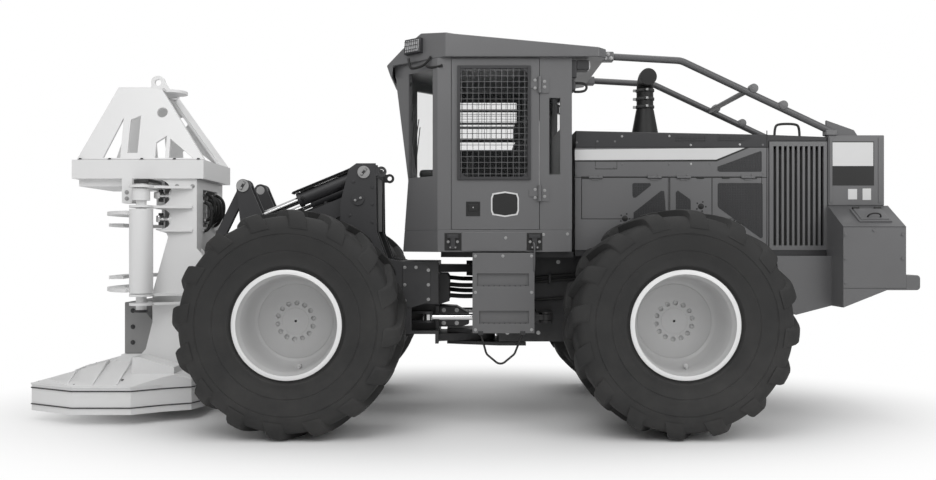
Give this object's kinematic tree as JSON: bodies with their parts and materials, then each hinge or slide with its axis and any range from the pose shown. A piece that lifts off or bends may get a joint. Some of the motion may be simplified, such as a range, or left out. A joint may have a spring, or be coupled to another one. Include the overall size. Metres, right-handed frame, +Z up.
{
  "type": "wheeled feller buncher",
  "caption": "Articulated four-wheel forestry machine with a lift arm, levelling links, a disc saw felling head with clamp arms, guarded cab, hinged engine doors and brush rails.",
  "frame": {"origin": "on the ground under the middle of the machine's box", "axes": "+X forward towards the felling head, +Y to the machine's left, +Z up"},
  "size_m": [7.6, 3.0702, 3.3816],
  "materials": {
    "chassis": "satin",
    "iron": "rough",
    "body": "satin",
    "dark_paint": "satin",
    "black_paint": "matt",
    "rail_paint": "satin",
    "glass": "clear",
    "seat": "woven",
    "steel": "satin",
    "rod_chrome": "polished",
    "pale_paint": "satin",
    "grey_plate": "satin",
    "tyre": "moulded"
  },
  "bodies": {
    "rear_frame": {"rear_frame": "chassis", "engine_block": "iron", "hood_shell": "body", "hood_top": "dark_paint", "side_louvres": "body", "rear_tower": "body", "rear_tank": "body", "rear_bumper": "body", "tow_hitch": "chassis", "exhaust_stack": "black_paint", "brush_rails": "rail_paint", "cab_floor": "body", "cab_frame": "body", "cab_roof": "body", "cab_glass": "glass", "cab_seat": "seat", "ladder": "body", "step_loop": "black_paint"},
    "cab_door": {"cab_door": "body", "door_glass": "glass"},
    "engine_door_front_left": {"engine_door_front_left": "body"},
    "engine_door_front_right": {"engine_door_front_right": "body"},
    "engine_door_rear_left": {"engine_door_rear_left": "body"},
    "engine_door_rear_right": {"engine_door_rear_right": "body"},
    "rear_axle": {"rear_axle": "chassis"},
    "front_frame": {"front_frame": "chassis", "front_axle": "chassis", "tie_eyes": "chassis", "tilt_base_pins": "steel"},
    "lift_arm": {"lift_arm": "chassis"},
    "levers": {"levers": "chassis", "lever_pins": "steel"},
    "links": {"links": "chassis"},
    "tilt_barrels": {"tilt_barrels": "chassis"},
    "tilt_sleeves": {"tilt_sleeves": "steel"},
    "tilt_rods": {"tilt_rods": "rod_chrome"},
    "lift_barrels": {"lift_barrels": "chassis"},
    "lift_rods": {"lift_rods": "rod_chrome"},
    "felling_head": {"head_mast": "pale_paint", "head_beam": "pale_paint", "head_guard": "pale_paint", "lifting_eye": "pale_paint", "saw_housing": "pale_paint", "butt_plate": "grey_plate", "head_pins": "steel"},
    "saw_disc": {"saw_disc": "steel"},
    "clamp_arm_left": {"clamp_arm_left": "pale_paint"},
    "clamp_arm_right": {"clamp_arm_right": "pale_paint"},
    "steer_barrel_left": {"steer_barrel_left": "chassis"},
    "steer_rod_left": {"steer_rod_left": "rod_chrome"},
    "steer_barrel_right": {"steer_barrel_right": "chassis"},
    "steer_rod_right": {"steer_rod_right": "rod_chrome"},
    "front_left_wheel": {"front_left_tyre": "tyre", "front_left_rim": "pale_paint"},
    "front_right_wheel": {"front_right_tyre": "tyre", "front_right_rim": "pale_paint"},
    "rear_left_wheel": {"rear_left_tyre": "tyre", "rear_left_rim": "pale_paint"},
    "rear_right_wheel": {"rear_right_tyre": "tyre", "rear_right_rim": "pale_paint"}
  },
  "joints": [
    {"name": "steer_hinge", "type": "hinge", "parent": "rear_frame", "child": "front_frame", "pos_m": [-0.15, 0, 0.69], "axis": [0, 0, 1], "range_deg": [-40, 40]},
    {"name": "rear_axle_swing", "type": "hinge", "parent": "rear_frame", "child": "rear_axle", "pos_m": [-1.705, 0, 0.91], "axis": [1, 0, 0], "range_deg": [-10, 10]},
    {"name": "front_left_roll", "type": "hinge", "parent": "front_frame", "child": "front_left_wheel", "pos_m": [1.405, 1.15, 0.91], "axis": [0, 1, 0], "continuous": true},
    {"name": "front_right_roll", "type": "hinge", "parent": "front_frame", "child": "front_right_wheel", "pos_m": [1.405, -1.15, 0.91], "axis": [0, 1, 0], "continuous": true},
    {"name": "rear_left_roll", "type": "hinge", "parent": "rear_axle", "child": "rear_left_wheel", "pos_m": [-1.705, 1.15, 0.91], "axis": [0, 1, 0], "continuous": true},
    {"name": "rear_right_roll", "type": "hinge", "parent": "rear_axle", "child": "rear_right_wheel", "pos_m": [-1.705, -1.15, 0.91], "axis": [0, 1, 0], "continuous": true},
    {"name": "cab_door_hinge", "type": "hinge", "parent": "rear_frame", "child": "cab_door", "pos_m": [-0.627, 0.766, 2.4], "axis": [0, 0, 1], "range_deg": [0, 100]},
    {"name": "engine_door_front_left_hinge", "type": "hinge", "parent": "rear_frame", "child": "engine_door_front_left", "pos_m": [-1.385, 0.619, 2.124], "axis": [1, 0, 0], "range_deg": [0, 85]},
    {"name": "engine_door_front_right_hinge", "type": "hinge", "parent": "rear_frame", "child": "engine_door_front_right", "pos_m": [-1.385, -0.619, 2.124], "axis": [-1, 0, 0], "range_deg": [0, 85]},
    {"name": "engine_door_rear_left_hinge", "type": "hinge", "parent": "rear_frame", "child": "engine_door_rear_left", "pos_m": [-2.179, 0.619, 2.124], "axis": [1, 0, 0], "range_deg": [0, 85]},
    {"name": "engine_door_rear_right_hinge", "type": "hinge", "parent": "rear_frame", "child": "engine_door_rear_right", "pos_m": [-2.179, -0.619, 2.124], "axis": [-1, 0, 0], "range_deg": [0, 85]},
    {"name": "boom_lift", "type": "hinge", "parent": "front_frame", "child": "lift_arm", "pos_m": [0.967, 0, 1.943], "axis": [0, -1, 0], "range_deg": [-5, 35]},
    {"name": "head_tilt", "type": "hinge", "parent": "lift_arm", "child": "felling_head", "pos_m": [2.278, 0, 0.834], "axis": [0, -1, 0], "range_deg": [-40, 10]},
    {"name": "lever_swing", "type": "hinge", "parent": "lift_arm", "child": "levers", "pos_m": [1.931, 0, 1.544], "axis": [0, -1, 0], "range_deg": [-42, 12]},
    {"name": "link_swing", "type": "hinge", "parent": "levers", "child": "links", "pos_m": [2.001, 0, 2.064], "axis": [0, -1, 0], "range_deg": [-12, 42]},
    {"name": "tilt_cylinder_swing", "type": "hinge", "parent": "front_frame", "child": "tilt_barrels", "pos_m": [0.916, 0, 2.184], "axis": [0, -1, 0], "range_deg": [-6, 36]},
    {"name": "tilt_sleeve_slide", "type": "slide", "parent": "tilt_barrels", "child": "tilt_sleeves", "axis": [0.924, 0, -0.3824], "range_m": [-0.126, 0.02]},
    {"name": "tilt_rod_slide", "type": "slide", "parent": "tilt_sleeves", "child": "tilt_rods", "axis": [0.924, 0, -0.3824], "range_m": [-0.037, 0.144]},
    {"name": "lift_cylinder_swing", "type": "hinge", "parent": "front_frame", "child": "lift_barrels", "pos_m": [0.9, 0, 1.18], "axis": [0, -1, 0], "range_deg": [-3, 19]},
    {"name": "lift_rod_slide", "type": "slide", "parent": "lift_barrels", "child": "lift_rods", "axis": [0.9095, 0, 0.4158], "range_m": [-0.07, 0.4]},
    {"name": "saw_spin", "type": "hinge", "parent": "felling_head", "child": "saw_disc", "pos_m": [3, 0, 0.21], "axis": [0, 0, 1], "continuous": true},
    {"name": "clamp_left", "type": "hinge", "parent": "felling_head", "child": "clamp_arm_left", "pos_m": [2.85, 0.6, 1.5], "axis": [0, 0, 1], "range_deg": [0, 80]},
    {"name": "steer_cylinder_left_swing", "type": "hinge", "parent": "rear_frame", "child": "steer_barrel_left", "pos_m": [-0.71, 0.42, 0.89], "axis": [0, 0, 1], "range_deg": [-20, 20]},
    {"name": "steer_cylinder_left_slide", "type": "slide", "parent": "steer_barrel_left", "child": "steer_rod_left", "axis": [1, 0, 0], "range_m": [-0.3, 0.3]},
    {"name": "clamp_right", "type": "hinge", "parent": "felling_head", "child": "clamp_arm_right", "pos_m": [2.85, -0.6, 1.5], "axis": [0, 0, -1], "range_deg": [0, 80]},
    {"name": "steer_cylinder_right_swing", "type": "hinge", "parent": "rear_frame", "child": "steer_barrel_right", "pos_m": [-0.71, -0.42, 0.89], "axis": [0, 0, 1], "range_deg": [-20, 20]},
    {"name": "steer_cylinder_right_slide", "type": "slide", "parent": "steer_barrel_right", "child": "steer_rod_right", "axis": [1, 0, 0], "range_m": [-0.3, 0.3]}
  ],
  "couplings": [
    {"joint": "lever_swing", "follows": "head_tilt", "ratio": 1},
    {"joint": "link_swing", "follows": "head_tilt", "ratio": -1},
    {"joint": "tilt_cylinder_swing", "follows": "boom_lift", "ratio": 1},
    {"joint": "tilt_sleeve_slide", "follows": "boom_lift", "m_per_rad": -0.2032},
    {"joint": "tilt_rod_slide", "follows": "head_tilt", "m_per_rad": -0.2032},
    {"joint": "lift_cylinder_swing", "follows": "boom_lift", "ratio": 0.506},
    {"joint": "lift_rod_slide", "follows": "boom_lift", "m_per_rad": 0.62},
    {"joint": "steer_cylinder_left_swing", "follows": "steer_hinge", "ratio": 0.468},
    {"joint": "steer_cylinder_left_slide", "follows": "steer_hinge", "m_per_rad": -0.41},
    {"joint": "steer_cylinder_right_swing", "follows": "steer_hinge", "ratio": 0.468},
    {"joint": "steer_cylinder_right_slide", "follows": "steer_hinge", "m_per_rad": 0.41}
  ]
}
